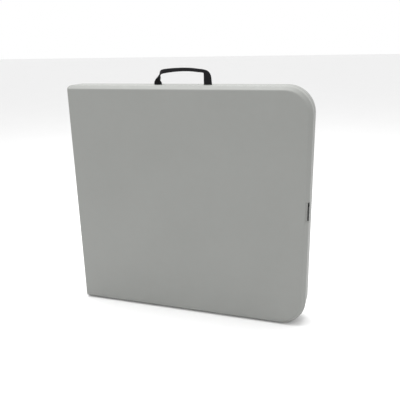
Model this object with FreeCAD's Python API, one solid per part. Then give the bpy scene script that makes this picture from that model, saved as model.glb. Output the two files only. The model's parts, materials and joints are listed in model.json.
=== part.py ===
import FreeCAD, Part
import math
import os
from FreeCAD import Vector

# A blow-moulded table that folds in half like a suitcase, folded and standing on its long edge.
#
# Everything is first made in the frame of one half:
#   x runs along the half, from the fold edge (0) to the table's outer end,
#   y runs from the table-top face (0) to the rim, where the two halves meet,
#   z runs up, across the table, from one long edge (0) to the other.
# A point on a leg is named by its distance from the leg's pivot towards the fold edge.

# ---- overall sizes, in millimetres ----
HALF_LENGTH = 762.0
TABLE_WIDTH = 736.0
HALF_DEPTH = 43.5
RIM_GAP = 3.0
FOLDED_DEPTH = 2 * HALF_DEPTH + RIM_GAP
MIDDLE_Z = TABLE_WIDTH / 2

# ---- moulded tops ----
PANEL = 14.0
SKIRT_WALL = 9.0
FOLD_WALL = 7.0
END_WALL = 12.0
BEVEL = 11.0
BEVEL_ROUND = 6.0
RIM_ROUND = 1.5
END_CORNER_RADIUS = 82.0
FOLD_CORNER_RADIUS = 13.0
FOLD_EDGE_ROUND = 4.5
CAVITY_CORNER_RADIUS = 8.0
DIMPLE_PITCH = 62.0
DIMPLE_MOUTH_RADIUS = 9.0
DIMPLE_FLOOR_RADIUS = 5.0
DIMPLE_DEPTH = 6.0

# ---- fits ----
RUNNING_FIT = 0.05
SIDE_GAP = 0.3
TELESCOPE_GAP = 0.3

# ---- side rails and their screws ----
FRONT_RAIL_INSET = 50.0
RAIL_SHEET = 2.0
RAIL_HEIGHT = 28.0
RAIL_FLANGE = 20.0
RAIL_END_GAP = 8.0
RAIL_WEB_END_GAP = 10.0
RAIL_SCREWS = 6
SCREW_RADIUS = 1.9
SCREW_DEPTH = 7.0
SCREW_HEAD_RADIUS = 4.2
SCREW_HEAD = 2.2

# ---- fold hinges ----
FOLD_AXIS_GAP = 0.6
HINGE_EYE_RADIUS = 9.0
HINGE_PLATE = 3.0
HINGE_PLATE_ABOVE_PANEL = 6.0
HINGE_PLATE_BELOW_RAIL = 2.0
HINGE_NECK_GAP = 1.0
HINGE_PLATE_LENGTH = 90.0
HINGE_PIN_RADIUS = 4.0
HINGE_PIN_HEAD_RADIUS = 6.5
HINGE_PIN_HEAD = 2.0
HINGE_RIVET_RADIUS = 2.5
HINGE_RIVET_HEAD_RADIUS = 4.5
HINGE_RIVET_HEAD = 1.5
HINGE_RIVETS = 3
NOTCH_ABOVE_PANEL = 12.0
NOTCH_FLOOR = PANEL + NOTCH_ABOVE_PANEL
NOTCH_MARGIN = 1.5

# ---- leg frames ----
PIVOT_FROM_END = 44.0
PIVOT_ABOVE_PANEL = 14.0
PIVOT_DEPTH = PANEL + PIVOT_ABOVE_PANEL
PIVOT_TUBE_RADIUS = 9.5
PIVOT_TUBE_WALL = 1.5
PIVOT_OVERHANG = 6.0
PIVOT_CAP_RADIUS = 11.0
PIVOT_CAP = 3.0
PIVOT_CAP_PLUG = 10.0
LEG_FROM_EDGE = 118.0
FRONT_LEG_SPREAD = TABLE_WIDTH - 2 * LEG_FROM_EDGE
LEG_NESTING = 30.0
OUTER_LEG_RADIUS = 11.0
LEG_WALL = 1.2
OUTER_LEG_END = 385.0
STRETCHER_RADIUS = 8.0
STRETCHER_WALL = 1.5
COLLAR_RADIUS = 13.0
COLLAR_LENGTH = 25.0
COLLAR_LIP = 6.0
INNER_LEG_START = 20.0
FOOT_GAP = 0.5
FOOT_LENGTH = 22.0
FOOT_SOLE = 4.0
FOOT_ROUND = 2.0

# ---- thumb knobs that clamp the telescopic legs ----
KNOB_SCREW_RADIUS = 3.0
KNOB_BOSS_RADIUS = 7.0
KNOB_BOSS_HEIGHT = 17.0
KNOB_RADIUS = 9.5
KNOB_THICKNESS = 9.0
KNOB_SCALLOPS = 6
KNOB_SCALLOP_RADIUS = 2.5

# ---- folding stays ----
STAY_LEG_ARM = 320.0
STAY_TOP_ARM = 260.0
STRETCHER_PAST_STAY = 20.0
STRETCHER_ARM = STAY_LEG_ARM + STRETCHER_PAST_STAY
STRETCHER_JOIN = 20.0
STAY_WIDTH = 16.0
STAY_SHEET = 4.0
STAY_EAR = 2.5
STAY_PIN_RADIUS = 3.0
STAY_HEAD_RADIUS = 5.5
STAY_HEAD = 2.0
BRACE_WIDTH = 30.0
BRACE_SHEET = 2.0
BRACE_END_GAP = 0.5
BRACKET_BASE = 2.5
BRACKET_LENGTH = 36.0
BRACKET_FOOT = 30.0
BRACKET_SCREW_OUT = 18.0

# ---- slide latch in the outer end ----
LATCH_ABOVE_MIDDLE = 8.0
LATCH_TRAVEL = 12.0
LATCH_SLOT_HALF_HEIGHT = 28.0
LATCH_FOOT_GAP = 1.0
LATCH_PIN_DROP = 6.0
LATCH_TAB = 10.0
LATCH_RIDGE_START = 7.0
LATCH_LIP = 1.2
LATCH_BLADE = 3.6
LATCH_GAP = 0.3
LATCH_FRONT = 13.0
LATCH_REACH = 14.0
LATCH_RUN = 32.0
LATCH_HOOK_HEIGHT = 15.0
LATCH_PRONG = 3.5
LATCH_PRONG_HEIGHT = 24.0
LATCH_PIN_RADIUS = 2.0
LATCH_PIN_DEPTHS = (22.0, 36.0)
LATCH_RIDGES = 3
LATCH_RIDGE = 3.0
LATCH_RIDGE_PITCH = 10.0
LATCH_RIDGE_HEIGHT = 1.5
KEEPER_RADIUS = 2.5
KEEPER_BEHIND_MIDDLE = 7.2
KEEPER_ABOVE_LATCH = 3.0
KEEPER_SLOT_DEPTH = 28.0
KEEPER_SLOT_MARGIN = 0.3
DISH_DEPTH = 5.0
DISH_BELOW = 34.0
DISH_RAMP = 8.0
DISH_ABOVE = 33.0
DISH_TOP_RAMP = 3.0
DISH_START = 7.5
DISH_RUN = 22.0
DISH_OVERCUT = 2.0

# ---- carry handle ----
HANDLE_SPAN = 157.0
HANDLE_OFF_MIDDLE = 8.0
WEBBING_WIDTH = 25.0
WEBBING = 1.8
HANDLE_HEIGHT = 50.0
GRIP_HEIGHT = 12.0
GRIP_THICKNESS = 7.0
GRIP_ROUND = 3.0
HANDLE_PIVOT_RISE = 1.5
HANDLE_CUT_GAP = 1.0
STRAP_SEAT_BELOW_RIM = 5.5
STRAP_SEAT = HALF_DEPTH - STRAP_SEAT_BELOW_RIM
STRAP_NOTCH_MARGIN = 1.0
BOSS_HALF_WIDTH = 18.0
BOSS_HEIGHT = 20.0
TAIL_LENGTH = 28.0
CLAMP_SHEET = 1.5
CLAMP_HALF_WIDTH = 15.0
CLAMP_LOW = 27.5
CLAMP_HIGH = 10.5
CLAMP_SCREW_DROPS = (14.5, 23.0)
CLAMP_HEAD_RADIUS = 3.6
CLAMP_HEAD = 1.9

# ---- places that follow from the sizes ----
BACK_RAIL_INSET = FRONT_RAIL_INSET + HINGE_PLATE + SIDE_GAP
FOLD_AXIS_X = -FOLD_AXIS_GAP
FOLD_AXIS_Y = FOLDED_DEPTH / 2
PIVOT_X = HALF_LENGTH - PIVOT_FROM_END
RAIL_START = FOLD_WALL + RAIL_END_GAP
RAIL_STOP = HALF_LENGTH - END_WALL - RAIL_WEB_END_GAP
CAVITY_END_RADIUS = END_CORNER_RADIUS - END_WALL
FLANGE_EDGE_DROP = SKIRT_WALL + CAVITY_END_RADIUS - (FRONT_RAIL_INSET - RAIL_FLANGE)
FLANGE_STOP = (HALF_LENGTH - END_CORNER_RADIUS - RAIL_END_GAP
               + math.sqrt(CAVITY_END_RADIUS ** 2 - FLANGE_EDGE_DROP ** 2))
BRACE_TOP = PANEL + BRACE_SHEET
STRETCHER_X = PIVOT_X - STRETCHER_ARM
STAY_LEG_X = PIVOT_X - STAY_LEG_ARM
STAY_TOP_X = PIVOT_X - STAY_TOP_ARM
STAY_OPEN_LENGTH = math.hypot(STAY_LEG_ARM, STAY_TOP_ARM)
UPPER_LINK = (STAY_OPEN_LENGTH - (STAY_LEG_ARM - STAY_TOP_ARM)) / 2
STAY_JOINT_X = STAY_TOP_X + UPPER_LINK
COLLAR_END = OUTER_LEG_END + COLLAR_LIP
COLLAR_START = COLLAR_END - COLLAR_LENGTH
FOOT_START = COLLAR_END + FOOT_GAP
FOOT_END = FOOT_START + FOOT_LENGTH
KNOB_ARM = (COLLAR_START + OUTER_LEG_END) / 2
INNER_LEG_RADIUS = OUTER_LEG_RADIUS - LEG_WALL - TELESCOPE_GAP
LATCH_Z = MIDDLE_Z + LATCH_ABOVE_MIDDLE
LATCH_BOTTOM = LATCH_Z - LATCH_SLOT_HALF_HEIGHT + LATCH_FOOT_GAP
LATCH_OUTER_X = HALF_LENGTH - LATCH_LIP - LATCH_GAP
LATCH_INNER_X = LATCH_OUTER_X - LATCH_BLADE
LATCH_PIN_Z = LATCH_Z - LATCH_PIN_DROP
STRAP_PLANE = STRAP_SEAT + WEBBING / 2
HANDLE_X = HALF_LENGTH / 2 - HANDLE_OFF_MIDDLE
STRAP_CENTRES = [HANDLE_X + side * HANDLE_SPAN / 2 for side in (-1, 1)]
ORIGIN_X = (HALF_LENGTH + FOLD_AXIS_X - HINGE_EYE_RADIUS) / 2

os.makedirs("parts", exist_ok=True)


# ---- small helpers ----
def box(x0, x1, y0, y1, z0, z1):
    return Part.makeBox(x1 - x0, y1 - y0, z1 - z0, Vector(x0, y0, z0))


def rod(radius, start, end):
    start, end = Vector(*start), Vector(*end)
    return Part.makeCylinder(radius, (end - start).Length, start, end - start)


def tube(radius, wall, start, end):
    return rod(radius, start, end).cut(rod(radius - wall, start, end))


def prism(points, thickness):
    """Solid from a closed outline of points, pushed along the given vector."""
    outline = [Vector(*point) for point in points]
    return Part.Face(Part.makePolygon(outline + outline[:1])).extrude(Vector(*thickness))


def rounded_plate(corners, y0, y1):
    """Plate between two depths whose right-angled (x, z, radius) corners are rounded."""
    edges = []
    last = None
    count = len(corners)
    places = [Vector(x, y0, z) for x, z, _ in corners]
    for index, (_, _, radius) in enumerate(corners):
        here = places[index]
        back = (places[index - 1] - here).normalize()
        ahead = (places[(index + 1) % count] - here).normalize()
        arc_start, arc_end = here + back * radius, here + ahead * radius
        if last is None:
            first = arc_start
        else:
            edges.append(Part.makeLine(last, arc_start))
        arc_middle = here + (back + ahead) * radius * (1 - math.sqrt(0.5))
        edges.append(Part.Arc(arc_start, arc_middle, arc_end).toShape())
        last = arc_end
    edges.append(Part.makeLine(last, first))
    return Part.Face(Part.Wire(edges)).extrude(Vector(0, y1 - y0, 0))


def edges_at_depth(shape, y):
    return [edge for edge in shape.Edges
            if abs(edge.BoundBox.YMin - y) < 1e-4 and abs(edge.BoundBox.YMax - y) < 1e-4]


def flip(shape):
    """The same piece at the other long edge."""
    return shape.mirror(Vector(0, 0, MIDDLE_Z), Vector(0, 0, 1))


def group(solids):
    return Part.makeCompound(solids)


def save(name, shape, half):
    """Moves a shape from the half's frame to the table's frame and writes it."""
    placed = shape.copy()
    if half == "back":
        placed = placed.mirror(Vector(0, FOLDED_DEPTH / 2, 0), Vector(0, 1, 0))
    placed.translate(Vector(-ORIGIN_X, -FOLDED_DEPTH / 2, 0))
    if not placed.isValid() or not placed.Solids:
        raise ValueError(name + " is not a valid solid")
    placed.exportStep("parts/" + name + ".step")
    print(name, len(placed.Solids), round(placed.Volume))


# ---- moulded tops ----
def outer_form():
    """Outside of one half: bevelled long edges and outer end, plain rounded fold edge."""
    beyond = -2 * END_CORNER_RADIUS
    slab = rounded_plate(
        [(beyond, 0, END_CORNER_RADIUS), (HALF_LENGTH, 0, END_CORNER_RADIUS),
         (HALF_LENGTH, TABLE_WIDTH, END_CORNER_RADIUS),
         (beyond, TABLE_WIDTH, END_CORNER_RADIUS)],
        0, HALF_DEPTH)
    slab = slab.makeChamfer(BEVEL, edges_at_depth(slab, 0))
    slab = slab.makeFillet(BEVEL_ROUND, edges_at_depth(slab, 0) + edges_at_depth(slab, BEVEL))
    slab = slab.makeFillet(RIM_ROUND, edges_at_depth(slab, HALF_DEPTH))
    fold_end = rounded_plate(
        [(0, 0, FOLD_CORNER_RADIUS), (2 * HALF_LENGTH, 0, FOLD_CORNER_RADIUS),
         (2 * HALF_LENGTH, TABLE_WIDTH, FOLD_CORNER_RADIUS),
         (0, TABLE_WIDTH, FOLD_CORNER_RADIUS)],
        0, HALF_DEPTH)
    fold_end = fold_end.makeFillet(FOLD_EDGE_ROUND, edges_at_depth(fold_end, 0))
    fold_end = fold_end.makeFillet(RIM_ROUND, edges_at_depth(fold_end, HALF_DEPTH))
    return slab.common(fold_end)


def dimples():
    """Pockets that tie the two skins of the moulding together, in a regular grid."""
    cones = []
    along = int((RAIL_STOP - RAIL_START) / DIMPLE_PITCH)
    across = int((TABLE_WIDTH - 2 * BACK_RAIL_INSET) / DIMPLE_PITCH) - 1
    for i in range(along):
        x = HALF_LENGTH / 2 + (i - (along - 1) / 2) * DIMPLE_PITCH
        if abs(x - STAY_TOP_X) < BRACE_WIDTH / 2 + DIMPLE_MOUTH_RADIUS:
            continue
        for j in range(across):
            z = MIDDLE_Z + (j - (across - 1) / 2) * DIMPLE_PITCH
            cones.append(Part.makeCone(DIMPLE_FLOOR_RADIUS, DIMPLE_MOUTH_RADIUS, DIMPLE_DEPTH,
                                       Vector(x, PANEL - DIMPLE_DEPTH, z), Vector(0, 1, 0)))
    return group(cones)


def hinge_notch():
    """Gap in the fold wall that the hinge plates pass through."""
    bottom = FRONT_RAIL_INSET - NOTCH_MARGIN
    top = BACK_RAIL_INSET + RAIL_SHEET + HINGE_PLATE + HINGE_PIN_HEAD + 2 * NOTCH_MARGIN
    return box(-1, FOLD_WALL + 1, NOTCH_FLOOR, HALF_DEPTH + 1, bottom, top)


def latch_dish():
    """Shallow finger dish across the end bevel, with a sloped ledge at its foot."""
    face = 1 / math.sqrt(2)
    centre_x, centre_y = HALF_LENGTH - BEVEL / 2, BEVEL / 2

    def at(run, lift, z):
        return (centre_x + (run + lift) * face, centre_y + (run - lift) * face, z)
    profile = [(DISH_OVERCUT, -DISH_BELOW), (0.0, -DISH_BELOW), (-DISH_DEPTH, -DISH_BELOW + DISH_RAMP),
               (-DISH_DEPTH, DISH_ABOVE - DISH_TOP_RAMP), (0.0, DISH_ABOVE), (DISH_OVERCUT, DISH_ABOVE)]
    points = [at(-DISH_START, lift, LATCH_Z + z) for lift, z in profile]
    return prism(points, (DISH_RUN * face, DISH_RUN * face, 0))


def moulded_top(half, rail_inset):
    top = outer_form()
    top = top.cut(rounded_plate(
        [(FOLD_WALL, SKIRT_WALL, CAVITY_CORNER_RADIUS),
         (HALF_LENGTH - END_WALL, SKIRT_WALL, CAVITY_END_RADIUS),
         (HALF_LENGTH - END_WALL, TABLE_WIDTH - SKIRT_WALL, CAVITY_END_RADIUS),
         (FOLD_WALL, TABLE_WIDTH - SKIRT_WALL, CAVITY_CORNER_RADIUS)],
        PANEL, HALF_DEPTH + 1))
    notch = hinge_notch()
    cuts = [dimples(), notch, flip(notch)]
    for x, z in rail_screw_places(rail_inset) + brace_screw_places():
        cuts.append(rod(SCREW_RADIUS + RUNNING_FIT, (x, PANEL - SCREW_DEPTH - 1, z), (x, PANEL + 1, z)))
    if half == "front":
        bosses = []
        for x in STRAP_CENTRES:
            bosses.append(box(x - BOSS_HALF_WIDTH, x + BOSS_HALF_WIDTH, PANEL - 1, STRAP_SEAT,
                              TABLE_WIDTH - SKIRT_WALL - BOSS_HEIGHT, TABLE_WIDTH - SKIRT_WALL + 1))
            reach = WEBBING_WIDTH / 2 + STRAP_NOTCH_MARGIN
            cuts.append(box(x - reach, x + reach, STRAP_SEAT, HALF_DEPTH + 1,
                            TABLE_WIDTH - SKIRT_WALL - 1, TABLE_WIDTH + 1))
            for drop in CLAMP_SCREW_DROPS:
                z = TABLE_WIDTH - drop
                cuts.append(rod(SCREW_RADIUS + RUNNING_FIT, (x, STRAP_SEAT - 2 * SCREW_DEPTH, z),
                                (x, STRAP_SEAT + 1, z)))
        top = top.fuse(bosses)
        cuts.append(latch_dish())
        cuts.append(box(LATCH_INNER_X - LATCH_GAP, HALF_LENGTH - LATCH_LIP, BEVEL / 2, HALF_DEPTH + 1,
                        LATCH_Z - LATCH_SLOT_HALF_HEIGHT, LATCH_Z + LATCH_SLOT_HALF_HEIGHT))
        for depth in LATCH_PIN_DEPTHS:
            cuts.append(rod(LATCH_PIN_RADIUS, (HALF_LENGTH - END_WALL - 1, depth, LATCH_PIN_Z),
                            (LATCH_INNER_X, depth, LATCH_PIN_Z)))
    else:
        margin = LATCH_GAP + KEEPER_SLOT_MARGIN
        cuts.append(box(LATCH_INNER_X - margin, LATCH_OUTER_X + margin, KEEPER_SLOT_DEPTH,
                        HALF_DEPTH + 1, LATCH_Z - LATCH_SLOT_HALF_HEIGHT,
                        LATCH_Z + LATCH_SLOT_HALF_HEIGHT))
        keeper_y = FOLDED_DEPTH / 2 - KEEPER_BEHIND_MIDDLE
        keeper_z = LATCH_Z + KEEPER_ABOVE_LATCH
        cuts.append(rod(KEEPER_RADIUS, (HALF_LENGTH - END_WALL - 1, keeper_y, keeper_z),
                        (LATCH_INNER_X, keeper_y, keeper_z)))
    return top.cut(cuts).removeSplitter()


# ---- rails, braces and screws ----
def rail_screw_places(inset):
    step = (RAIL_STOP - RAIL_START) / RAIL_SCREWS
    places = []
    for index in range(RAIL_SCREWS):
        x = RAIL_START + (index + 0.5) * step
        z = inset - RAIL_FLANGE / 2
        places += [(x, z), (x, TABLE_WIDTH - z)]
    return places


def brace_screw_places():
    places = [(STAY_TOP_X, MIDDLE_Z + side * TABLE_WIDTH / 4) for side in (-1, 1)]
    bracket_z = MIDDLE_Z + SIDE_GAP + STAY_SHEET + BRACKET_SCREW_OUT
    return places + [(STAY_TOP_X + side * BRACKET_LENGTH / 4, bracket_z) for side in (-1, 1)]


def screw(x, z, seat):
    shank = rod(SCREW_RADIUS, (x, PANEL - SCREW_DEPTH, z), (x, seat, z))
    head = rod(SCREW_HEAD_RADIUS, (x, seat, z), (x, seat + SCREW_HEAD, z))
    crown = head.Edges[0] if head.Edges[0].BoundBox.YMin > seat else head.Edges[2]
    return shank.fuse(head.makeFillet(SCREW_HEAD / 2, [crown]))


def screws(inset):
    solids = [screw(x, z, BRACE_TOP) for x, z in rail_screw_places(inset)]
    places = brace_screw_places()
    solids += [screw(x, z, BRACE_TOP) for x, z in places[:2]]
    solids += [screw(x, z, BRACE_TOP + BRACKET_BASE) for x, z in places[2:]]
    return group(solids)


def hinge_rivet_places():
    first = RAIL_START + 3 * HINGE_RIVET_HEAD_RADIUS
    step = (HINGE_PLATE_LENGTH - HINGE_RIVET_HEAD_RADIUS * 2 - first) / (HINGE_RIVETS - 1)
    return [first + index * step for index in range(HINGE_RIVETS)]


def side_rail(inset):
    """L-section rail at the lower long edge: web upright, flange on the panel."""
    web = box(RAIL_START, RAIL_STOP, PANEL, PANEL + RAIL_HEIGHT, inset, inset + RAIL_SHEET)
    flange = box(RAIL_START, FLANGE_STOP, PANEL, PANEL + RAIL_SHEET, inset - RAIL_FLANGE, inset)
    rail = web.fuse(flange).removeSplitter()
    cuts = [rod(PIVOT_TUBE_RADIUS + RUNNING_FIT, (PIVOT_X, PIVOT_DEPTH, inset - 1),
                (PIVOT_X, PIVOT_DEPTH, inset + RAIL_SHEET + 1))]
    for x, z in rail_screw_places(inset)[::2]:
        cuts.append(rod(SCREW_RADIUS + RUNNING_FIT, (x, PANEL - 1, z), (x, BRACE_TOP + 1, z)))
    for x in hinge_rivet_places():
        cuts.append(rod(HINGE_RIVET_RADIUS, (x, PIVOT_DEPTH, inset - 1),
                        (x, PIVOT_DEPTH, inset + RAIL_SHEET + 1)))
    return rail.cut(cuts)


def cross_brace(inset):
    start = inset + RAIL_SHEET + BRACE_END_GAP
    brace = box(STAY_TOP_X - BRACE_WIDTH / 2, STAY_TOP_X + BRACE_WIDTH / 2, PANEL, BRACE_TOP,
                start, TABLE_WIDTH - start)
    cuts = [rod(SCREW_RADIUS + RUNNING_FIT, (x, PANEL - 1, z), (x, BRACE_TOP + 1, z))
            for x, z in brace_screw_places()]
    return brace.cut(cuts)


# ---- fold hinges ----
def hinge_plate(inset, pin_hole):
    """Plate on the inside of the lower rail's web, with an eye on the fold axis."""
    z0 = inset + RAIL_SHEET
    low, high = PANEL + HINGE_PLATE_ABOVE_PANEL, PANEL + RAIL_HEIGHT - HINGE_PLATE_BELOW_RAIL
    neck = RAIL_START + HINGE_NECK_GAP
    outline = [(FOLD_AXIS_X, FOLD_AXIS_Y - HINGE_EYE_RADIUS, z0), (neck, low, z0),
               (HINGE_PLATE_LENGTH, low, z0), (HINGE_PLATE_LENGTH, high, z0), (neck, high, z0),
               (FOLD_AXIS_X + HINGE_EYE_RADIUS, FOLD_AXIS_Y, z0)]
    plate = prism(outline, (0, 0, HINGE_PLATE))
    plate = plate.fuse(rod(HINGE_EYE_RADIUS, (FOLD_AXIS_X, FOLD_AXIS_Y, z0),
                           (FOLD_AXIS_X, FOLD_AXIS_Y, z0 + HINGE_PLATE)))
    cuts = [rod(pin_hole, (FOLD_AXIS_X, FOLD_AXIS_Y, z0 - 1),
                (FOLD_AXIS_X, FOLD_AXIS_Y, z0 + HINGE_PLATE + 1))]
    for x in hinge_rivet_places():
        cuts.append(rod(HINGE_RIVET_RADIUS, (x, PIVOT_DEPTH, z0 - 1),
                        (x, PIVOT_DEPTH, z0 + HINGE_PLATE + 1)))
    return plate.cut(cuts).removeSplitter()


def hinge_rivet_set(inset):
    outside = inset
    inside = inset + RAIL_SHEET + HINGE_PLATE
    rivets = []
    for x in hinge_rivet_places():
        shank = rod(HINGE_RIVET_RADIUS, (x, PIVOT_DEPTH, outside), (x, PIVOT_DEPTH, inside))
        low = rod(HINGE_RIVET_HEAD_RADIUS, (x, PIVOT_DEPTH, outside - HINGE_RIVET_HEAD),
                  (x, PIVOT_DEPTH, outside))
        high = rod(HINGE_RIVET_HEAD_RADIUS, (x, PIVOT_DEPTH, inside),
                   (x, PIVOT_DEPTH, inside + HINGE_RIVET_HEAD))
        rivets.append(shank.fuse([low, high]))
    return group(rivets + [flip(rivet) for rivet in rivets])


def hinge_pin():
    low = FRONT_RAIL_INSET + RAIL_SHEET
    high = BACK_RAIL_INSET + RAIL_SHEET + HINGE_PLATE + SIDE_GAP / 2
    axis = (FOLD_AXIS_X, FOLD_AXIS_Y)
    pin = rod(HINGE_PIN_RADIUS, axis + (low,), axis + (high,))
    heads = [rod(HINGE_PIN_HEAD_RADIUS, axis + (low - HINGE_PIN_HEAD,), axis + (low,)),
             rod(HINGE_PIN_HEAD_RADIUS, axis + (high,), axis + (high + HINGE_PIN_HEAD,))]
    return pin.fuse(heads)


# ---- leg frames; the pieces of the lower leg are made and flipped for the upper one ----
def leg_x(arm):
    return PIVOT_X - arm


def along_leg(radius, arm0, arm1, z):
    return rod(radius, (leg_x(arm0), PIVOT_DEPTH, z), (leg_x(arm1), PIVOT_DEPTH, z))


def pivot_tube(inset):
    z0 = inset - PIVOT_OVERHANG
    return tube(PIVOT_TUBE_RADIUS, PIVOT_TUBE_WALL, (PIVOT_X, PIVOT_DEPTH, z0),
                (PIVOT_X, PIVOT_DEPTH, TABLE_WIDTH - z0))


def pivot_caps(inset):
    z0 = inset - PIVOT_OVERHANG
    disc = rod(PIVOT_CAP_RADIUS, (PIVOT_X, PIVOT_DEPTH, z0 - PIVOT_CAP), (PIVOT_X, PIVOT_DEPTH, z0))
    plug = rod(PIVOT_TUBE_RADIUS - PIVOT_TUBE_WALL, (PIVOT_X, PIVOT_DEPTH, z0),
               (PIVOT_X, PIVOT_DEPTH, z0 + PIVOT_CAP_PLUG))
    cap = disc.fuse(plug)
    return group([cap, flip(cap)])


def knob_screw_line(z, start, end):
    return (leg_x(KNOB_ARM), PIVOT_DEPTH, z - start), (leg_x(KNOB_ARM), PIVOT_DEPTH, z - end)


def outer_leg(z):
    leg = along_leg(OUTER_LEG_RADIUS, PIVOT_TUBE_WALL, OUTER_LEG_END, z)
    bore = along_leg(OUTER_LEG_RADIUS - LEG_WALL, 0, OUTER_LEG_END + 1, z)
    pivot = rod(PIVOT_TUBE_RADIUS, (PIVOT_X, PIVOT_DEPTH, z - 2 * OUTER_LEG_RADIUS),
                (PIVOT_X, PIVOT_DEPTH, z + 2 * OUTER_LEG_RADIUS))
    hole = rod(KNOB_SCREW_RADIUS + RUNNING_FIT, *knob_screw_line(z, 0, 2 * OUTER_LEG_RADIUS))
    return leg.cut([bore, pivot, hole])


def leg_collar(z):
    body = along_leg(COLLAR_RADIUS, COLLAR_START, COLLAR_END, z)
    boss = rod(KNOB_BOSS_RADIUS, *knob_screw_line(z, 0, KNOB_BOSS_HEIGHT))
    seat = along_leg(OUTER_LEG_RADIUS, COLLAR_START - 1, OUTER_LEG_END, z)
    guide = along_leg(INNER_LEG_RADIUS + RUNNING_FIT, OUTER_LEG_END, COLLAR_END + 1, z)
    hole = rod(KNOB_SCREW_RADIUS + RUNNING_FIT, *knob_screw_line(z, 0, KNOB_BOSS_HEIGHT + 1))
    return body.fuse(boss).cut([seat, guide, hole]).removeSplitter()


def knob(z):
    tip = INNER_LEG_RADIUS + TELESCOPE_GAP
    top = KNOB_BOSS_HEIGHT + SIDE_GAP
    stem = rod(KNOB_SCREW_RADIUS, *knob_screw_line(z, tip, top))
    head = rod(KNOB_RADIUS, *knob_screw_line(z, top, top + KNOB_THICKNESS))
    scallops = []
    for index in range(KNOB_SCALLOPS):
        angle = 2 * math.pi * index / KNOB_SCALLOPS
        reach = KNOB_RADIUS + KNOB_SCALLOP_RADIUS / 2
        shift = Vector(reach * math.cos(angle), reach * math.sin(angle), 0)
        scallop = rod(KNOB_SCALLOP_RADIUS, *knob_screw_line(z, top - 1, top + KNOB_THICKNESS + 1))
        scallop.translate(shift)
        scallops.append(scallop)
    return head.cut(scallops).fuse(stem)


def inner_leg(z):
    leg = along_leg(INNER_LEG_RADIUS, INNER_LEG_START, FOOT_END - FOOT_SOLE, z)
    bore = along_leg(INNER_LEG_RADIUS - LEG_WALL, INNER_LEG_START - 1, FOOT_END, z)
    return leg.cut(bore)


def foot(z):
    body = along_leg(COLLAR_RADIUS, FOOT_START, FOOT_END, z)
    sole_x = leg_x(FOOT_END)
    rim = [edge for edge in body.Edges if abs(edge.BoundBox.XMax - sole_x) < 1e-4]
    body = body.makeFillet(FOOT_ROUND, rim)
    return body.cut(along_leg(INNER_LEG_RADIUS, FOOT_START - 1, FOOT_END - FOOT_SOLE, z))


def leg_stretcher(z):
    """Cross tube between the legs, with the tab that carries the folding stay."""
    ends = (STRETCHER_X, PIVOT_DEPTH, z), (STRETCHER_X, PIVOT_DEPTH, TABLE_WIDTH - z)
    bar = rod(STRETCHER_RADIUS, *ends)
    outer = MIDDLE_Z - SIDE_GAP - STAY_SHEET - SIDE_GAP
    tab = box(STRETCHER_X, STAY_LEG_X, PIVOT_DEPTH - STRETCHER_RADIUS / 2,
              PIVOT_DEPTH + STRETCHER_RADIUS / 2, outer - STAY_EAR, outer)
    eye = rod(STAY_WIDTH / 2, (STAY_LEG_X, PIVOT_DEPTH, outer - STAY_EAR),
              (STAY_LEG_X, PIVOT_DEPTH, outer))
    hole = rod(STAY_PIN_RADIUS, (STAY_LEG_X, PIVOT_DEPTH, outer - STAY_EAR - 1),
               (STAY_LEG_X, PIVOT_DEPTH, outer + 1))
    cuts = [rod(STRETCHER_RADIUS - STRETCHER_WALL, *ends), hole]
    for leg_z in (z, TABLE_WIDTH - z):
        cuts.append(along_leg(OUTER_LEG_RADIUS, STRETCHER_ARM - STRETCHER_JOIN,
                              STRETCHER_ARM + STRETCHER_JOIN, leg_z))
    return bar.fuse([tab, eye]).removeSplitter().cut(cuts)


# ---- folding stays: the two links lie side by side, a small gap either side of the middle ----
def link(x0, x1, z0, pin_x):
    """Flat bar with round ends and a running hole at one end and a rivet hole at the other."""
    z1 = z0 + STAY_SHEET
    bar = box(x0, x1, PIVOT_DEPTH - STAY_WIDTH / 2, PIVOT_DEPTH + STAY_WIDTH / 2, z0, z1)
    ends = [rod(STAY_WIDTH / 2, (x, PIVOT_DEPTH, z0), (x, PIVOT_DEPTH, z1)) for x in (x0, x1)]
    cuts = []
    for x in (x0, x1):
        radius = STAY_PIN_RADIUS + (RUNNING_FIT if x == pin_x else 0)
        cuts.append(rod(radius, (x, PIVOT_DEPTH, z0 - 1), (x, PIVOT_DEPTH, z1 + 1)))
    return bar.fuse(ends).removeSplitter().cut(cuts)


def rivet(x, flush_z, head_z, direction):
    """Rivet with one flush end and one flat head."""
    shank = rod(STAY_PIN_RADIUS, (x, PIVOT_DEPTH, flush_z), (x, PIVOT_DEPTH, head_z))
    head = rod(STAY_HEAD_RADIUS, (x, PIVOT_DEPTH, head_z),
               (x, PIVOT_DEPTH, head_z + direction * STAY_HEAD))
    return shank.fuse(head)


def stay_bracket():
    """Bracket on the cross brace, with the rivet that the upper link turns on."""
    ear_z = MIDDLE_Z + SIDE_GAP + STAY_SHEET + SIDE_GAP
    base = box(STAY_TOP_X - BRACKET_LENGTH / 2, STAY_TOP_X + BRACKET_LENGTH / 2, BRACE_TOP,
               BRACE_TOP + BRACKET_BASE, ear_z, ear_z + BRACKET_FOOT)
    ear = box(STAY_TOP_X - STAY_WIDTH / 2, STAY_TOP_X + STAY_WIDTH / 2, BRACE_TOP, PIVOT_DEPTH,
              ear_z, ear_z + STAY_EAR)
    eye = rod(STAY_WIDTH / 2, (STAY_TOP_X, PIVOT_DEPTH, ear_z),
              (STAY_TOP_X, PIVOT_DEPTH, ear_z + STAY_EAR))
    holes = [rod(SCREW_RADIUS + RUNNING_FIT, (x, BRACE_TOP - 1, z), (x, BRACE_TOP + BRACKET_BASE + 1, z))
             for x, z in brace_screw_places()[2:]]
    pin = rivet(STAY_TOP_X, MIDDLE_Z + SIDE_GAP, ear_z + STAY_EAR, 1)
    return base.fuse([ear, eye]).cut(holes).fuse(pin).removeSplitter()


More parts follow.
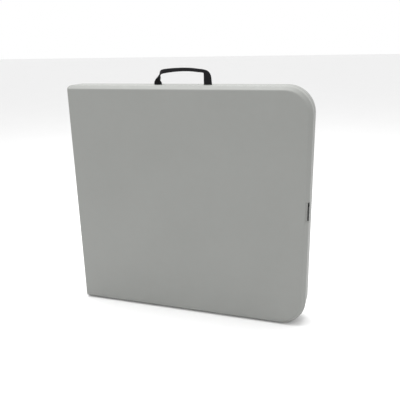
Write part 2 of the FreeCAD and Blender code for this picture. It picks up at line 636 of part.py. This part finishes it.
# ---- slide latch ----
def latch_slide():
    """Blade in the end slot: hook towards the back half, thumb ridges towards the face."""
    span = (LATCH_OUTER_X - LATCH_INNER_X, 0, 0)
    middle = FOLDED_DEPTH / 2
    tip = middle + LATCH_REACH
    top = LATCH_BOTTOM + LATCH_RUN + LATCH_TAB
    outline = [(LATCH_FRONT, LATCH_BOTTOM), (tip, LATCH_BOTTOM),
               (tip, LATCH_BOTTOM + LATCH_PRONG_HEIGHT),
               (tip - LATCH_PRONG, LATCH_BOTTOM + LATCH_PRONG_HEIGHT),
               (tip - LATCH_PRONG, LATCH_BOTTOM + LATCH_HOOK_HEIGHT),
               (middle - RIM_GAP / 2, LATCH_BOTTOM + LATCH_HOOK_HEIGHT),
               (middle - RIM_GAP / 2, top), (LATCH_FRONT, top)]
    blade = prism([(LATCH_INNER_X, y, z) for y, z in outline], span)
    ridges = []
    for index in range(LATCH_RIDGES):
        z = LATCH_BOTTOM + LATCH_RIDGE_START + LATCH_RIDGE_PITCH * index
        ridges.append(box(LATCH_INNER_X, LATCH_OUTER_X, LATCH_FRONT - LATCH_RIDGE_HEIGHT, LATCH_FRONT,
                          z, z + LATCH_RIDGE))
    half_width = LATCH_PIN_RADIUS + RUNNING_FIT
    slots = []
    for depth in LATCH_PIN_DEPTHS:
        slots.append(box(LATCH_INNER_X - 1, LATCH_OUTER_X + 1, depth - half_width, depth + half_width,
                         LATCH_PIN_Z - LATCH_TRAVEL, LATCH_PIN_Z))
        for z in (LATCH_PIN_Z - LATCH_TRAVEL, LATCH_PIN_Z):
            slots.append(rod(half_width, (LATCH_INNER_X - 1, depth, z), (LATCH_OUTER_X + 1, depth, z)))
    return blade.fuse(ridges).cut(slots).removeSplitter()


def wall_pin(radius, y, z):
    end = HALF_LENGTH - LATCH_LIP - LATCH_GAP / 2
    return rod(radius, (HALF_LENGTH - END_WALL, y, z), (end, y, z))


# ---- carry handle ----
def handle_loop():
    """Strap loop above the skirt: two flat legs and a rolled grip."""
    low = TABLE_WIDTH + HANDLE_PIVOT_RISE + HANDLE_CUT_GAP
    top = TABLE_WIDTH + HANDLE_HEIGHT
    grip_middle = top - GRIP_HEIGHT / 2
    legs = [box(x - WEBBING_WIDTH / 2, x + WEBBING_WIDTH / 2, STRAP_PLANE - WEBBING / 2,
                STRAP_PLANE + WEBBING / 2, low, grip_middle) for x in STRAP_CENTRES]
    grip = box(STRAP_CENTRES[0] - WEBBING_WIDTH / 2, STRAP_CENTRES[1] + WEBBING_WIDTH / 2,
               STRAP_PLANE - GRIP_THICKNESS / 2, STRAP_PLANE + GRIP_THICKNESS / 2,
               top - GRIP_HEIGHT, top)
    return grip.makeFillet(GRIP_ROUND, grip.Edges).fuse(legs).removeSplitter()


def clamp_screw_places():
    return [(x, TABLE_WIDTH - drop) for x in STRAP_CENTRES for drop in CLAMP_SCREW_DROPS]


def clamp_holes():
    return [rod(SCREW_RADIUS + RUNNING_FIT, (x, STRAP_SEAT - 1, z), (x, HALF_DEPTH, z))
            for x, z in clamp_screw_places()]


def handle_tails():
    tails = [box(x - WEBBING_WIDTH / 2, x + WEBBING_WIDTH / 2, STRAP_SEAT, STRAP_SEAT + WEBBING,
                 TABLE_WIDTH - TAIL_LENGTH, TABLE_WIDTH + HANDLE_PIVOT_RISE - HANDLE_CUT_GAP)
             for x in STRAP_CENTRES]
    return group([tail.cut(clamp_holes()) for tail in tails])


def handle_clamps():
    seat = STRAP_SEAT + WEBBING
    clamps = [box(x - CLAMP_HALF_WIDTH, x + CLAMP_HALF_WIDTH, seat, seat + CLAMP_SHEET,
                  TABLE_WIDTH - CLAMP_LOW, TABLE_WIDTH - CLAMP_HIGH) for x in STRAP_CENTRES]
    return group([clamp.cut(clamp_holes()) for clamp in clamps])


def handle_screws():
    seat = STRAP_SEAT + WEBBING + CLAMP_SHEET
    solids = []
    for x, z in clamp_screw_places():
        shank = rod(SCREW_RADIUS, (x, STRAP_SEAT - SCREW_DEPTH, z), (x, seat, z))
        solids.append(shank.fuse(rod(CLAMP_HEAD_RADIUS, (x, seat, z), (x, seat + CLAMP_HEAD, z))))
    return group(solids)


# ---- build both halves ----
def build_half(half, inset, spread, hinge_hole):
    name = half + "_"
    leg_z = MIDDLE_Z - spread / 2
    save(name + "top", moulded_top(half, inset), half)
    rail = side_rail(inset)
    plate = hinge_plate(inset, hinge_hole)
    save(name + "side_rail_lower", rail, half)
    save(name + "side_rail_upper", flip(rail), half)
    save(name + "hinge_plate_lower", plate, half)
    save(name + "hinge_plate_upper", flip(plate), half)
    save(name + "hinge_rivets", hinge_rivet_set(inset), half)
    save(name + "screws", screws(inset), half)
    save(name + "cross_brace", cross_brace(inset), half)
    save(name + "stay_bracket", stay_bracket(), half)
    save(name + "leg_pivot_tube", pivot_tube(inset), half)
    save(name + "leg_pivot_caps", pivot_caps(inset), half)
    save(name + "leg_stretcher", leg_stretcher(leg_z), half)
    collar = leg_collar(leg_z)
    save(name + "leg_collars", group([collar, flip(collar)]), half)
    for side, place in (("lower", lambda shape: shape), ("upper", flip)):
        save(name + "outer_leg_" + side, place(outer_leg(leg_z)), half)
        save(name + "inner_leg_" + side, place(inner_leg(leg_z)), half)
        save(name + "foot_" + side, place(foot(leg_z)), half)
        save(name + "leg_knob_" + side, place(knob(leg_z)), half)
    above, below = MIDDLE_Z + SIDE_GAP, MIDDLE_Z - SIDE_GAP
    save(name + "stay_upper_link", link(STAY_TOP_X, STAY_JOINT_X, above, STAY_TOP_X), half)
    save(name + "stay_lower_link", link(STAY_LEG_X, STAY_JOINT_X, below - STAY_SHEET, STAY_LEG_X), half)
    ear = below - STAY_SHEET - SIDE_GAP - STAY_EAR
    save(name + "stay_leg_rivet", rivet(STAY_LEG_X, below, ear, -1), half)
    save(name + "stay_joint_rivet", rivet(STAY_JOINT_X, above, above + STAY_SHEET, 1), half)
    save(name + "stay_joint_washer", rivet(STAY_JOINT_X, below, below - STAY_SHEET, -1), half)


build_half("front", FRONT_RAIL_INSET, FRONT_LEG_SPREAD, HINGE_PIN_RADIUS)
build_half("back", BACK_RAIL_INSET, FRONT_LEG_SPREAD - 2 * LEG_NESTING, HINGE_PIN_RADIUS + RUNNING_FIT)

pin = hinge_pin()
save("hinge_pins", group([pin, flip(pin)]), "front")
save("latch_slide", latch_slide(), "front")
save("latch_guide_pins", group([wall_pin(LATCH_PIN_RADIUS, depth, LATCH_PIN_Z)
                                for depth in LATCH_PIN_DEPTHS]), "front")
save("latch_keeper_pin", wall_pin(KEEPER_RADIUS, FOLDED_DEPTH / 2 - KEEPER_BEHIND_MIDDLE,
                                  LATCH_Z + KEEPER_ABOVE_LATCH), "back")
save("handle_strap", handle_loop(), "front")
save("handle_tails", handle_tails(), "front")
save("handle_clamps", handle_clamps(), "front")
save("handle_screws", handle_screws(), "front")
print("origin shift", ORIGIN_X, "stay joint", STAY_JOINT_X)
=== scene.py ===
import json
import math

import bmesh
import bpy
from mathutils import Matrix, Vector


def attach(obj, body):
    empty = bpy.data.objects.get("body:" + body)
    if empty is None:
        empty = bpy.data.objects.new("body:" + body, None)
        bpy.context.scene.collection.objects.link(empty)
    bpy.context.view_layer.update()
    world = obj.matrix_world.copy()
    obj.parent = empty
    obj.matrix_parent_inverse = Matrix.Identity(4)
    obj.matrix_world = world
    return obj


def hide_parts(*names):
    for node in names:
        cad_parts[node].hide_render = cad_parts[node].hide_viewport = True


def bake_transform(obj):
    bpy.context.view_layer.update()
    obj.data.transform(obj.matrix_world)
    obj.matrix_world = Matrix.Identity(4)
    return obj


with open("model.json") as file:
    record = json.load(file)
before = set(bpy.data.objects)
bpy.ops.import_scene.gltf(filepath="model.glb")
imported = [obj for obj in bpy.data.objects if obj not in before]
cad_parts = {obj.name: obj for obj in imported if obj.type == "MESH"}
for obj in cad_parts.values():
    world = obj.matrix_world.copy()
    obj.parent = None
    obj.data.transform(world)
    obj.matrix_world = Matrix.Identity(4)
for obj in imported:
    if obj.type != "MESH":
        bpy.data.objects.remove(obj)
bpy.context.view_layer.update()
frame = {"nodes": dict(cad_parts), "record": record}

# ---- sizes that repeat the CAD, in metres ----
TABLE_WIDTH = 0.736
HANDLE_MIDDLE_X = -0.0032
HANDLE_SPAN = 0.157
HANDLE_TOP = 0.786
HANDLE_PIVOT_Z = 0.7375
STRAP_Y = -0.0061
TAIL_LENGTH = 0.028
WEBBING_WIDTH = 0.025
WEBBING = 0.0018
GRIP_THICKNESS = 0.0056


# ---- materials ----
class Shader:
    """A new material with short names for its nodes and links."""

    def __init__(self, name):
        self.material = bpy.data.materials.new(name)
        self.material.use_nodes = True
        self.tree = self.material.node_tree
        self.surface = self.tree.nodes["Principled BSDF"]

    def add(self, kind, **values):
        node = self.tree.nodes.new(kind)
        for key, value in values.items():
            if key in node.inputs:
                node.inputs[key].default_value = value
            else:
                setattr(node, key, value)
        return node

    def link(self, source, target):
        self.tree.links.new(source, target)

    def place(self, uv=False, scale=(1, 1, 1)):
        """Object or UV coordinates, scaled."""
        source = self.add("ShaderNodeTexCoord").outputs["UV" if uv else "Object"]
        mapping = self.add("ShaderNodeMapping")
        mapping.inputs["Scale"].default_value = scale
        self.link(source, mapping.inputs["Vector"])
        return mapping.outputs["Vector"]

    def noise(self, vector, scale, detail=3.0, roughness=0.5):
        node = self.add("ShaderNodeTexNoise", Scale=scale, Detail=detail, Roughness=roughness)
        self.link(vector, node.inputs["Vector"])
        return node.outputs["Fac"]

    def ramp(self, value, low, high, start=0.0, end=1.0):
        """value from start..end mapped to the colours low..high."""
        node = self.add("ShaderNodeValToRGB")
        first, last = node.color_ramp.elements
        first.position, last.position = start, end
        first.color, last.color = (*low, 1), (*high, 1)
        self.link(value, node.inputs["Fac"])
        return node.outputs["Color"]

    def span(self, value, low, high, start=0.0, end=1.0):
        node = self.add("ShaderNodeMapRange")
        for key, number in zip(("From Min", "From Max", "To Min", "To Max"),
                               (start, end, low, high)):
            node.inputs[key].default_value = number
        self.link(value, node.inputs["Value"])
        return node.outputs["Result"]

    def math(self, operation, a, b):
        node = self.add("ShaderNodeMath", operation=operation)
        for socket, value in zip(node.inputs, (a, b)):
            if isinstance(value, (int, float)):
                socket.default_value = value
            else:
                self.link(value, socket)
        return node.outputs["Value"]

    def bump(self, height, distance, strength=1.0, under=None):
        node = self.add("ShaderNodeBump", Distance=distance, Strength=strength)
        self.link(height, node.inputs["Height"])
        if under is not None:
            self.link(under, node.inputs["Normal"])
        return node.outputs["Normal"]

    def set(self, **sockets):
        for key, value in sockets.items():
            socket = self.surface.inputs[key.replace("_", " ")]
            if isinstance(value, bpy.types.NodeSocket):
                self.link(value, socket)
            else:
                socket.default_value = value
        return self.material


def tabletop_plastic():
    """Pebbled blow-moulded polyethylene, with faint mottling and scuffs near the standing edge."""
    look = Shader("tabletop_plastic")
    here = look.place()
    pebble = look.add("ShaderNodeTexVoronoi", Scale=620.0, feature="SMOOTH_F1")
    look.link(here, pebble.inputs["Vector"])
    grain = look.math("ADD", pebble.outputs["Distance"], look.noise(here, 1500.0, 2.0))
    flow = look.noise(here, 5.0, 3.0)
    mottle = look.noise(here, 42.0, 5.0, 0.6)
    tone = look.math("ADD", look.math("MULTIPLY", flow, 0.6), look.math("MULTIPLY", mottle, 0.4))
    clean = look.ramp(tone, (0.229, 0.234, 0.223), (0.245, 0.250, 0.239), 0.3, 0.7)
    split = look.add("ShaderNodeSeparateXYZ")
    look.link(here, split.inputs["Vector"])
    near_floor = look.span(split.outputs["Z"], 1.0, 0.0, 0.0, 0.035)
    scratches = look.noise(look.place(scale=(30, 200, 420)), 1.0, 6.0, 0.7)
    worn = look.math("MULTIPLY", near_floor, look.span(scratches, 0.0, 0.5, 0.52, 0.72))
    # The mix node's colours are its inputs 6 and 7 and its output 2.
    mix = look.add("ShaderNodeMix", data_type="RGBA")
    look.link(worn, mix.inputs["Factor"])
    look.link(clean, mix.inputs[6])
    mix.inputs[7].default_value = (0.17, 0.17, 0.16, 1)
    wave = look.bump(flow, 0.0012, 0.5)
    return look.set(Base_Color=mix.outputs[2], Roughness=look.span(mottle, 0.42, 0.54, 0.3, 0.7),
                 Normal=look.bump(grain, 0.00018, 0.6, wave), IOR=1.5)


def webbing():
    """Black nylon webbing: chevron ribs along the strap, in metres on its UV map."""
    look = Shader("webbing")
    split = look.add("ShaderNodeSeparateXYZ")
    look.link(look.place(uv=True), split.inputs["Vector"])
    along, across = split.outputs["X"], split.outputs["Y"]
    half_rib, half_pick = 0.0009, 0.00075
    rib = look.math("PINGPONG", across, half_rib)
    slant = look.math("ADD", along, look.math("MULTIPLY", look.math("PINGPONG", across, 2 * half_rib), 0.8))
    pick = look.math("PINGPONG", slant, half_pick)
    weave = look.math("MULTIPLY", look.span(rib, 0.25, 1.0, 0.0, half_rib),
                   look.span(pick, 0.3, 1.0, 0.0, half_pick))
    fuzz = look.noise(look.place(), 2600.0, 4.0, 0.7)
    height = look.math("ADD", weave, look.math("MULTIPLY", fuzz, 0.25))
    colour = look.ramp(height, (0.0022, 0.0021, 0.0026), (0.0105, 0.0103, 0.0125), 0.15, 1.0)
    return look.set(Base_Color=colour, Roughness=look.span(fuzz, 0.62, 0.85),
                 Normal=look.bump(height, 0.0004, 0.9), Specular_IOR_Level=0.22)


def thread():
    """Twisted sewing thread."""
    look = Shader("thread")
    twist = look.noise(look.place(scale=(1, 1, 2)), 3000.0, 2.0)
    return look.set(Base_Color=look.ramp(twist, (0.012, 0.012, 0.013), (0.05, 0.05, 0.055)),
                 Roughness=0.6, Normal=look.bump(twist, 0.0002, 0.8))


def black_plastic():
    """Spark-textured black nylon with lighter rubbed patches."""
    look = Shader("black_plastic")
    here = look.place()
    grain = look.noise(here, 2200.0, 4.0, 0.65)
    rubbed = look.noise(here, 60.0, 4.0)
    return look.set(Base_Color=look.ramp(rubbed, (0.014, 0.014, 0.015), (0.034, 0.034, 0.036), 0.4, 0.8),
                 Roughness=look.span(rubbed, 0.48, 0.32, 0.4, 0.7),
                 Normal=look.bump(grain, 0.0001, 0.7))


def zinc_steel():
    """Zinc plate: faint spangle and dull spots."""
    look = Shader("zinc_steel")
    here = look.place()
    spangle = look.add("ShaderNodeTexVoronoi", Scale=240.0)
    look.link(here, spangle.inputs["Vector"])
    dull = look.noise(here, 90.0, 5.0, 0.6)
    return look.set(Base_Color=look.ramp(spangle.outputs["Distance"], (0.50, 0.51, 0.53),
                                   (0.66, 0.67, 0.68), 0.0, 0.8),
                 Metallic=1.0, Roughness=look.span(dull, 0.28, 0.5, 0.35, 0.7),
                 Normal=look.bump(dull, 0.0001, 0.3))


def bright_tube():
    """Drawn steel tube: fine lines along the leg."""
    look = Shader("bright_steel_tube")
    lines = look.noise(look.place(scale=(6, 1600, 1600)), 1.0, 4.0, 0.7)
    handled = look.noise(look.place(), 25.0, 4.0)
    return look.set(Base_Color=look.ramp(handled, (0.55, 0.55, 0.56), (0.68, 0.68, 0.69), 0.3, 0.7),
                 Metallic=1.0, Roughness=look.span(lines, 0.2, 0.42, 0.3, 0.7),
                 Normal=look.bump(lines, 0.00005, 0.5))


def powder_coat():
    """Grey powder coat with orange peel."""
    look = Shader("grey_powder_steel")
    here = look.place()
    peel = look.noise(here, 480.0, 2.0)
    shade = look.noise(here, 18.0, 4.0)
    return look.set(Base_Color=look.ramp(shade, (0.150, 0.154, 0.160), (0.178, 0.182, 0.188), 0.3, 0.7),
                 Roughness=look.span(peel, 0.34, 0.5, 0.3, 0.7),
                 Normal=look.bump(peel, 0.00012, 0.6))


def floor_material():
    """Pale matt studio floor."""
    look = Shader("floor")
    soft = look.noise(look.place(), 3.0, 4.0)
    return look.set(Base_Color=look.ramp(soft, (0.86, 0.86, 0.86), (0.88, 0.88, 0.88)), Roughness=0.9)


FINISHES = {
    "tabletop_plastic": tabletop_plastic(),
    "webbing": webbing(),
    "black_plastic": black_plastic(),
    "zinc_steel": zinc_steel(),
    "bright_steel_tube": bright_tube(),
    "grey_powder_steel": powder_coat(),
}
SLOT_OF = {part["node"]: part["material_slot"] for part in frame["record"]["subparts"]}
for name, node in frame["nodes"].items():
    node.data.materials.clear()
    node.data.materials.append(FINISHES[SLOT_OF[name]])


# ---- carry strap: one ribbon from tail to tail ----
DEPTH = Vector((0, 1, 0))
GRIP_BELOW_TOP = 0.0006
EDGE_ROUNDNESS = 0.35
FACE_ROUNDNESS = 0.6
# The ribbon's second face reads the weave from here on, so that the two faces don't match.
SECOND_FACE_UV = 0.03
STITCH_SINK = 0.98
STITCH_FLATNESS = 0.8
STITCH_ROW = -0.62
STITCHED_HALF_LENGTH = 0.052
STITCHED_DEPTH = 0.014


def curve(points, steps):
    """A Catmull-Rom curve through the rows of numbers in points."""
    rows = [points[0], *points, points[-1]]
    out = []
    for a, b, c, d in zip(rows, rows[1:], rows[2:], rows[3:]):
        for i in range(steps):
            t = i / steps
            out.append([0.5 * (2 * q + (r - p) * t + (2 * p - 5 * q + 4 * r - s) * t * t
                               + (3 * q - p - 3 * r + s) * t ** 3) for p, q, r, s in zip(a, b, c, d)])
    out.append(list(points[-1]))
    return out


def strap_rows():
    """(x from the handle's middle, z, width, thickness, twist in degrees) along the strap, in metres.

    The left leg leaves its notch flat, twists right over and gathers into the folded grip.
    The grip bows up, and at the right it opens out again round a sharp inner corner.
    """
    half, low, top = HANDLE_SPAN / 2, TABLE_WIDTH - TAIL_LENGTH, HANDLE_TOP - GRIP_BELOW_TOP
    left = [(-half, low, WEBBING_WIDTH, WEBBING, 0), (-half, low + 0.015, WEBBING_WIDTH, WEBBING, 0),
            (-half, HANDLE_PIVOT_Z, WEBBING_WIDTH, WEBBING, 0),
            (-half - 0.0022, HANDLE_PIVOT_Z + 0.004, 0.0200, 0.0019, 18),
            (-half - 0.0008, HANDLE_PIVOT_Z + 0.011, 0.0172, 0.0024, 46),
            (-half + 0.0032, HANDLE_PIVOT_Z + 0.019, 0.0175, 0.0030, 76),
            (-half + 0.0062, HANDLE_PIVOT_Z + 0.027, 0.0140, 0.0038, 104),
            (-half + 0.0125, top - 0.0125, 0.0125, 0.0048, 150),
            (-half + 0.0230, top - 0.0098, 0.0125, GRIP_THICKNESS, 178)]
    grip = [(-0.040, top - 0.0078, 0.0120, GRIP_THICKNESS, 180),
            (-0.020, top - 0.0062, 0.0112, GRIP_THICKNESS, 180),
            (0.003, top - 0.0053, 0.0106, GRIP_THICKNESS, 180),
            (0.028, top - 0.0060, 0.0104, GRIP_THICKNESS, 180),
            (0.050, top - 0.0084, 0.0102, 0.0050, 180)]
    return curve(left + grip, 7)


def right_leg_rows():
    """(inner x, inner z, outer x, outer z, thickness) where the grip opens out into the right leg."""
    inner, outer = HANDLE_SPAN / 2 - WEBBING_WIDTH / 2, HANDLE_SPAN / 2 + WEBBING_WIDTH / 2
    low, top = TABLE_WIDTH - TAIL_LENGTH, HANDLE_TOP
    return curve([(inner - 0.0055, top - 0.0150, inner - 0.0035, top - 0.0053, 0.0046),
                  (inner - 0.0010, top - 0.0160, inner + 0.0060, top - 0.0074, 0.0038),
                  (inner - 0.0002, top - 0.0180, inner + 0.0140, top - 0.0112, 0.0030),
                  (inner, top - 0.0215, inner + 0.0198, top - 0.0180, 0.0024),
                  (inner, top - 0.0280, inner + 0.0230, top - 0.0270, 0.0020),
                  (inner, HANDLE_PIVOT_Z + 0.008, outer - 0.0006, HANDLE_PIVOT_Z + 0.008, WEBBING),
                  (inner, HANDLE_PIVOT_Z, outer, HANDLE_PIVOT_Z, WEBBING),
                  (inner, low, outer, low, WEBBING)], 9)


def strap_sections():
    """(centre, forward, width direction, half width, half thickness) from tail to tail."""
    rows = strap_rows()
    out = []
    for i, (x, z, width, thick, twist) in enumerate(rows):
        before, after = rows[max(i - 1, 0)], rows[min(i + 1, len(rows) - 1)]
        forward = Vector((after[0] - before[0], 0, after[1] - before[1])).normalized()
        across = Matrix.Rotation(math.radians(twist), 3, forward) @ DEPTH.cross(forward)
        out.append((Vector((HANDLE_MIDDLE_X + x, STRAP_Y, z)), forward, across, width / 2, thick / 2))
    # The right leg keeps the sense of the grip's last section, so the ribbon doesn't turn over there.
    sign = 1 if out[-1][2].z > 0 else -1
    for x0, z0, x1, z1, thick in right_leg_rows():
        inner = Vector((HANDLE_MIDDLE_X + x0, STRAP_Y, z0))
        outer = Vector((HANDLE_MIDDLE_X + x1, STRAP_Y, z1))
        across = (outer - inner).normalized() * sign
        forward = across.cross(DEPTH) * sign
        out.append(((inner + outer) / 2, forward, across, (outer - inner).length / 2, thick / 2))
    return out


def piece_from(mesh, name):
    """A new object from a bmesh."""
    data = bpy.data.meshes.new(name)
    mesh.to_mesh(data)
    mesh.free()
    piece = bpy.data.objects.new(name, data)
    bpy.context.scene.collection.objects.link(piece)
    return piece


def ribbon(name, sections, around=28):
    """A closed rounded-rectangle ribbon with UVs in metres: along, and across."""
    mesh = bmesh.new()
    uv = mesh.loops.layers.uv.new("UVMap")
    rings, lengths = [], [0.0]
    for i, (p, forward, across, half_width, half_thick) in enumerate(sections):
        if i:
            lengths.append(lengths[-1] + (p - sections[i - 1][0]).length)
        out = forward.cross(across)
        ring = []
        for k in range(around):
            a = 2 * math.pi * k / around
            c, s = math.cos(a), math.sin(a)
            u = math.copysign(abs(c) ** EDGE_ROUNDNESS, c) * half_width
            v = math.copysign(abs(s) ** FACE_ROUNDNESS, s) * half_thick
            ring.append((mesh.verts.new(p + across * u + out * v), u + (SECOND_FACE_UV if s < 0 else 0.0)))
        rings.append(ring)
    for i in range(len(rings) - 1):
        for k in range(around):
            j = (k + 1) % around
            corners = [(rings[i][k], lengths[i]), (rings[i][j], lengths[i]),
                       (rings[i + 1][j], lengths[i + 1]), (rings[i + 1][k], lengths[i + 1])]
            face = mesh.faces.new([vert for (vert, _), _ in corners])
            face.smooth = True
            for loop, ((_, side), length) in zip(face.loops, corners):
                loop[uv].uv = (length, side)
    mesh.faces.new([vert for vert, _ in reversed(rings[0])])
    mesh.faces.new([vert for vert, _ in rings[-1]])
    bmesh.ops.recalc_face_normals(mesh, faces=mesh.faces)
    return piece_from(mesh, name)


SECTIONS = strap_sections()
strap = ribbon("carry_strap", SECTIONS)
strap.data.materials.append(FINISHES["webbing"])
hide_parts("handle_strap", "handle_tails")


def stitching(name, sections, rows, pitch=0.0026, length=0.0019, radius=0.00028):
    """Rows of short thread stitches that lie on the strap's front face."""
    mesh = bmesh.new()
    travelled, last = 0.0, sections[0][0]
    for p, forward, across, half_width, half_thick in sections:
        travelled += (p - last).length
        last = p
        if travelled < pitch:
            continue
        travelled = 0.0
        out = forward.cross(across)
        if out.y > 0:
            out = -out
        for row in rows:
            centre = p + across * (row * half_width) + out * (half_thick * STITCH_SINK)
            along_strap = Matrix((across, out, forward)).transposed().to_4x4()
            bmesh.ops.create_uvsphere(
                mesh, u_segments=8, v_segments=6, radius=1.0,
                matrix=Matrix.Translation(centre) @ along_strap @ Matrix.Diagonal(
                    (radius, radius * STITCH_FLATNESS, length / 2, 1)))
    for face in mesh.faces:
        face.smooth = True
    return piece_from(mesh, name)


grip = [section for section in SECTIONS
        if abs(section[0].x - HANDLE_MIDDLE_X) < STITCHED_HALF_LENGTH
        and section[0].z > HANDLE_TOP - STITCHED_DEPTH]
stitches = stitching("strap_stitching", grip, (STITCH_ROW,))
stitches.data.materials.append(thread())
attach(stitches, "handle")

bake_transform(strap)

# ---- floor, light and camera ----
FLOOR_HALF = 30
data = bpy.data.meshes.new("floor")
data.from_pydata([(-FLOOR_HALF, -FLOOR_HALF, 0), (FLOOR_HALF, -FLOOR_HALF, 0),
                  (FLOOR_HALF, FLOOR_HALF, 0), (-FLOOR_HALF, FLOOR_HALF, 0)], [], [(0, 1, 2, 3)])
floor = bpy.data.objects.new("floor", data)
bpy.context.scene.collection.objects.link(floor)
data.materials.append(floor_material())

world = bpy.data.worlds.new("studio")
bpy.context.scene.world = world
world.use_nodes = True
world.node_tree.nodes["Background"].inputs["Color"].default_value = (1.0, 1.0, 1.0, 1)
world.node_tree.nodes["Background"].inputs["Strength"].default_value = 1.0


def area_light(name, place, aim, size, power):
    light = bpy.data.lights.new(name, "AREA")
    light.shape, light.size, light.energy = "SQUARE", size, power
    lamp = bpy.data.objects.new(name, light)
    bpy.context.scene.collection.objects.link(lamp)
    lamp.location = place
    lamp.rotation_euler = (Vector(aim) - Vector(place)).to_track_quat("-Z", "Y").to_euler()


area_light("overhead", place=(-0.2, 0.1, 2.6), aim=(0, 0, 0.4), size=2.4, power=74)

# The camera is placed by the front half's lower corner at the fold: FOLD_CORNER is that corner in the
# row frame, and CORNER_FROM_CAMERA is the same corner in the camera's axes: right, down and forward.
CAMERA_YAW, CAMERA_PITCH, CAMERA_ROLL = (math.radians(a) for a in (-18.0, 17.1, -1.28))
CORNER_FROM_CAMERA = Vector((-0.406, 0.354, 1.787))
FOLD_CORNER = Vector((-0.3762, -0.045, 0.0))
CAMERA_LENS = 45.2
CAMERA_SHIFT = (-0.0025, -0.0075)


def camera_turn():
    """From the row frame to the camera's axes: a yaw about Z, a quarter turn, a pitch and a roll."""
    yaw = Matrix.Rotation(CAMERA_YAW, 3, "Z")
    pitch = Matrix.Rotation(CAMERA_PITCH, 3, "X")
    roll = Matrix.Rotation(CAMERA_ROLL, 3, "Z")
    quarter = Matrix(((1, 0, 0), (0, 0, -1), (0, 1, 0)))
    return roll @ pitch @ quarter @ yaw


turn = camera_turn()
lens = bpy.data.cameras.new("camera")
lens.sensor_width = 36.0
lens.lens = CAMERA_LENS
lens.shift_x, lens.shift_y = CAMERA_SHIFT
camera = bpy.data.objects.new("camera", lens)
bpy.context.scene.collection.objects.link(camera)
camera.matrix_world = (Matrix.Translation(-(turn.transposed() @ CORNER_FROM_CAMERA) + FOLD_CORNER)
                       @ Matrix((turn[0], -turn[1], -turn[2])).transposed().to_4x4())
bpy.context.scene.camera = camera
bpy.context.scene.view_settings.view_transform = "Standard"
